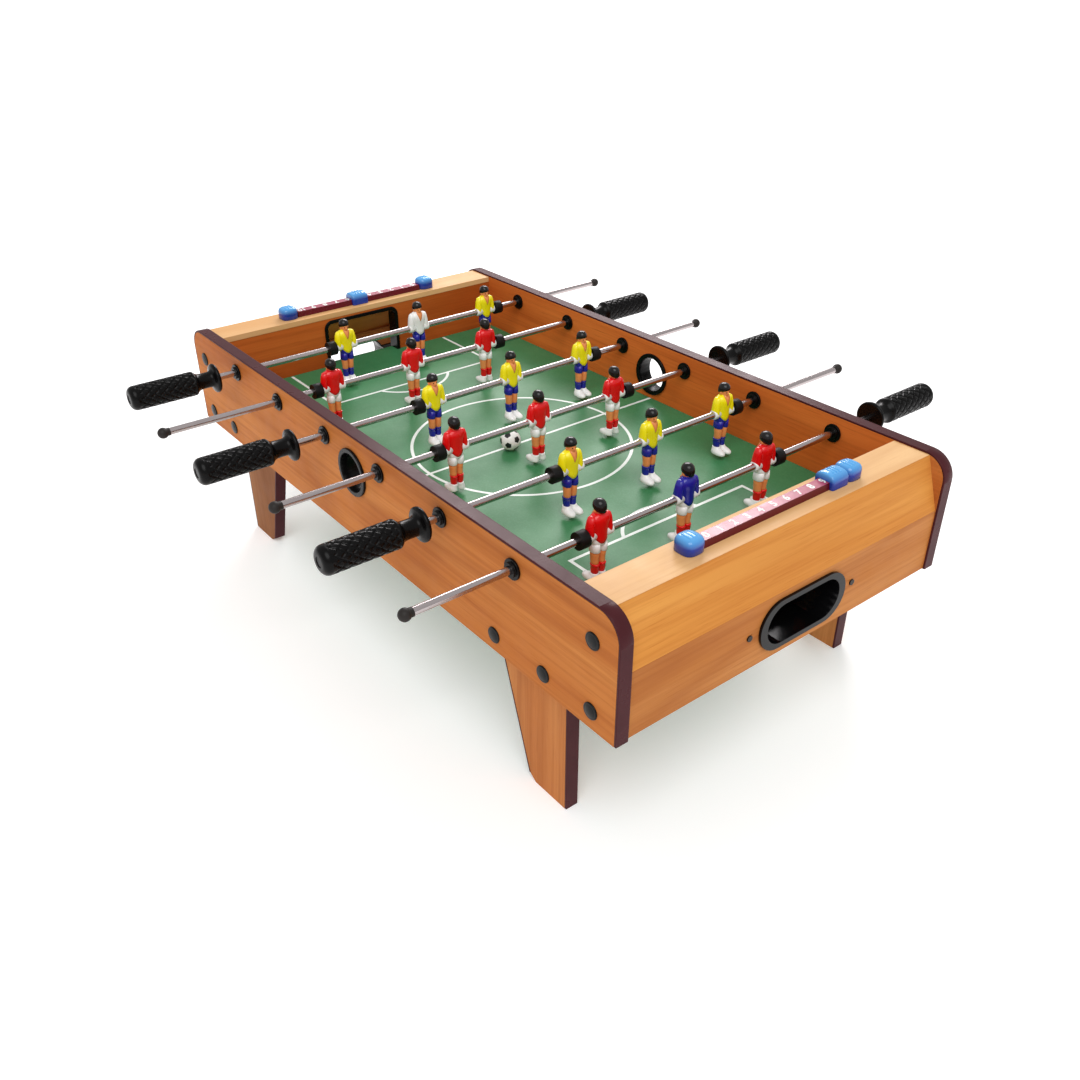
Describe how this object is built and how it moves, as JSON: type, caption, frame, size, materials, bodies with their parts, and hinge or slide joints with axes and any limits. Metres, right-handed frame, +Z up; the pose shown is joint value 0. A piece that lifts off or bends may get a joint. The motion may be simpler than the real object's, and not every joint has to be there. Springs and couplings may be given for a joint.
{
  "type": "tabletop foosball",
  "caption": "Wood-grain tabletop football game on short board legs, with sliding and spinning player rods, black handles, goals with ball cups, serve holes and bead scorers.",
  "frame": {"origin": "middle of the overall box, at the level of the legs' feet", "axes": "+X along the table from the left goal to the right goal, +Y across it towards the far side (parallel to the rods), +Z up"},
  "size_m": [0.69, 0.617, 0.2365],
  "materials": {
    "side_laminate": "satin wood-grain laminate, orange-brown with long streaks",
    "wall_laminate": "satin wood-grain laminate, deep orange",
    "top_laminate": "satin wood-grain laminate, pale honey",
    "slant_laminate": "satin wood-grain laminate, bright honey",
    "end_laminate": "satin wood-grain laminate, honey-brown",
    "leg_laminate": "satin wood-grain laminate, orange-brown",
    "raw_wood": "plain sawn wood",
    "edging": "glossy dark maroon-brown edging strip",
    "field_print": "printed green field with white lines, satin",
    "black_plastic": "moulded black plastic, satin",
    "grip_plastic": "moulded black plastic grip, satin",
    "rubber": "black rubber",
    "steel": "bright drawn steel",
    "zinc_screws": "zinc-plated steel",
    "dark_screws": "blackened steel",
    "red_plastic": "glossy red plastic with printed white numbers",
    "blue_plastic": "glossy blue plastic",
    "yellow_player": "painted moulded plastic: yellow shirts, blue shorts and socks, white boots",
    "red_player": "painted moulded plastic: red shirts and socks, white shorts and boots",
    "ball_plastic": "white plastic with black spots"
  },
  "bodies": {
    "box": {"near_side_panel": "side_laminate", "far_side_panel": "side_laminate", "edge_trims": "edging", "left_goal_wall": "wall_laminate", "right_goal_wall": "wall_laminate", "left_top_board": "top_laminate", "right_top_board": "top_laminate", "left_slant_board": "slant_laminate", "right_slant_board": "slant_laminate", "left_end_panel": "end_laminate", "right_end_panel": "end_laminate", "corner_blocks": "raw_wood", "pitch_board": "field_print", "goal_frames": "black_plastic", "ball_cups": "black_plastic", "serve_cups": "black_plastic", "near_left_leg": "leg_laminate", "near_right_leg": "leg_laminate", "far_left_leg": "leg_laminate", "far_right_leg": "leg_laminate", "leg_edge_bands": "edging", "screw_caps": "black_plastic", "panel_screws": "zinc_screws", "cup_screws": "dark_screws", "left_scorer_rail": "red_plastic", "right_scorer_rail": "red_plastic", "scorer_end_caps": "blue_plastic"},
    "bearings_1": {"rod_1_bearings": "black_plastic"},
    "rod_1_set": {"rod_1": "steel", "rod_1_handle": "grip_plastic", "rod_1_players": "yellow_player", "rod_1_stops": "rubber"},
    "bearings_2": {"rod_2_bearings": "black_plastic"},
    "rod_2_set": {"rod_2": "steel", "rod_2_handle": "grip_plastic", "rod_2_players": "red_player", "rod_2_stops": "rubber"},
    "bearings_3": {"rod_3_bearings": "black_plastic"},
    "rod_3_set": {"rod_3": "steel", "rod_3_handle": "grip_plastic", "rod_3_players": "yellow_player", "rod_3_stops": "rubber"},
    "bearings_4": {"rod_4_bearings": "black_plastic"},
    "rod_4_set": {"rod_4": "steel", "rod_4_handle": "grip_plastic", "rod_4_players": "red_player", "rod_4_stops": "rubber"},
    "bearings_5": {"rod_5_bearings": "black_plastic"},
    "rod_5_set": {"rod_5": "steel", "rod_5_handle": "grip_plastic", "rod_5_players": "yellow_player", "rod_5_stops": "rubber"},
    "bearings_6": {"rod_6_bearings": "black_plastic"},
    "rod_6_set": {"rod_6": "steel", "rod_6_handle": "grip_plastic", "rod_6_players": "red_player", "rod_6_stops": "rubber"},
    "left_marker": {"left_scorer_slider": "blue_plastic"},
    "right_marker": {"right_scorer_slider": "blue_plastic"},
    "loose_ball": {"ball": "ball_plastic"}
  },
  "joints": [
    {"name": "rod_1_spin", "type": "hinge", "parent": "box", "child": "bearings_1", "pos_m": [-0.232, 0, 0.2075], "axis": [0, 1, 0], "continuous": true},
    {"name": "rod_1_slide", "type": "slide", "parent": "bearings_1", "child": "rod_1_set", "axis": [0, 1, 0], "range_m": [-0.086, 0.017]},
    {"name": "rod_2_spin", "type": "hinge", "parent": "box", "child": "bearings_2", "pos_m": [-0.1392, 0, 0.2075], "axis": [0, 1, 0], "continuous": true},
    {"name": "rod_2_slide", "type": "slide", "parent": "bearings_2", "child": "rod_2_set", "axis": [0, 1, 0], "range_m": [-0.013, 0.09]},
    {"name": "rod_3_spin", "type": "hinge", "parent": "box", "child": "bearings_3", "pos_m": [-0.0464, 0, 0.2075], "axis": [0, 1, 0], "continuous": true},
    {"name": "rod_3_slide", "type": "slide", "parent": "bearings_3", "child": "rod_3_set", "axis": [0, 1, 0], "range_m": [-0.077, 0.026]},
    {"name": "rod_4_spin", "type": "hinge", "parent": "box", "child": "bearings_4", "pos_m": [0.0464, 0, 0.2075], "axis": [0, 1, 0], "continuous": true},
    {"name": "rod_4_slide", "type": "slide", "parent": "bearings_4", "child": "rod_4_set", "axis": [0, 1, 0], "range_m": [-0.0315, 0.0715]},
    {"name": "rod_5_spin", "type": "hinge", "parent": "box", "child": "bearings_5", "pos_m": [0.1392, 0, 0.2075], "axis": [0, 1, 0], "continuous": true},
    {"name": "rod_5_slide", "type": "slide", "parent": "bearings_5", "child": "rod_5_set", "axis": [0, 1, 0], "range_m": [-0.0915, 0.0115]},
    {"name": "rod_6_spin", "type": "hinge", "parent": "box", "child": "bearings_6", "pos_m": [0.232, 0, 0.2075], "axis": [0, 1, 0], "continuous": true},
    {"name": "rod_6_slide", "type": "slide", "parent": "bearings_6", "child": "rod_6_set", "axis": [0, 1, 0], "range_m": [-0.035, 0.068]},
    {"name": "left_marker_slide", "type": "slide", "parent": "box", "child": "left_marker", "axis": [0, 1, 0], "range_m": [-0.0669, 0.0709]},
    {"name": "right_marker_slide", "type": "slide", "parent": "box", "child": "right_marker", "axis": [0, 1, 0], "range_m": [-0.1374, 0.0004]},
    {"name": "ball_lift", "type": "slide", "parent": "box", "child": "loose_ball", "axis": [0, 0, 1], "range_m": [0, 0.08]}
  ]
}
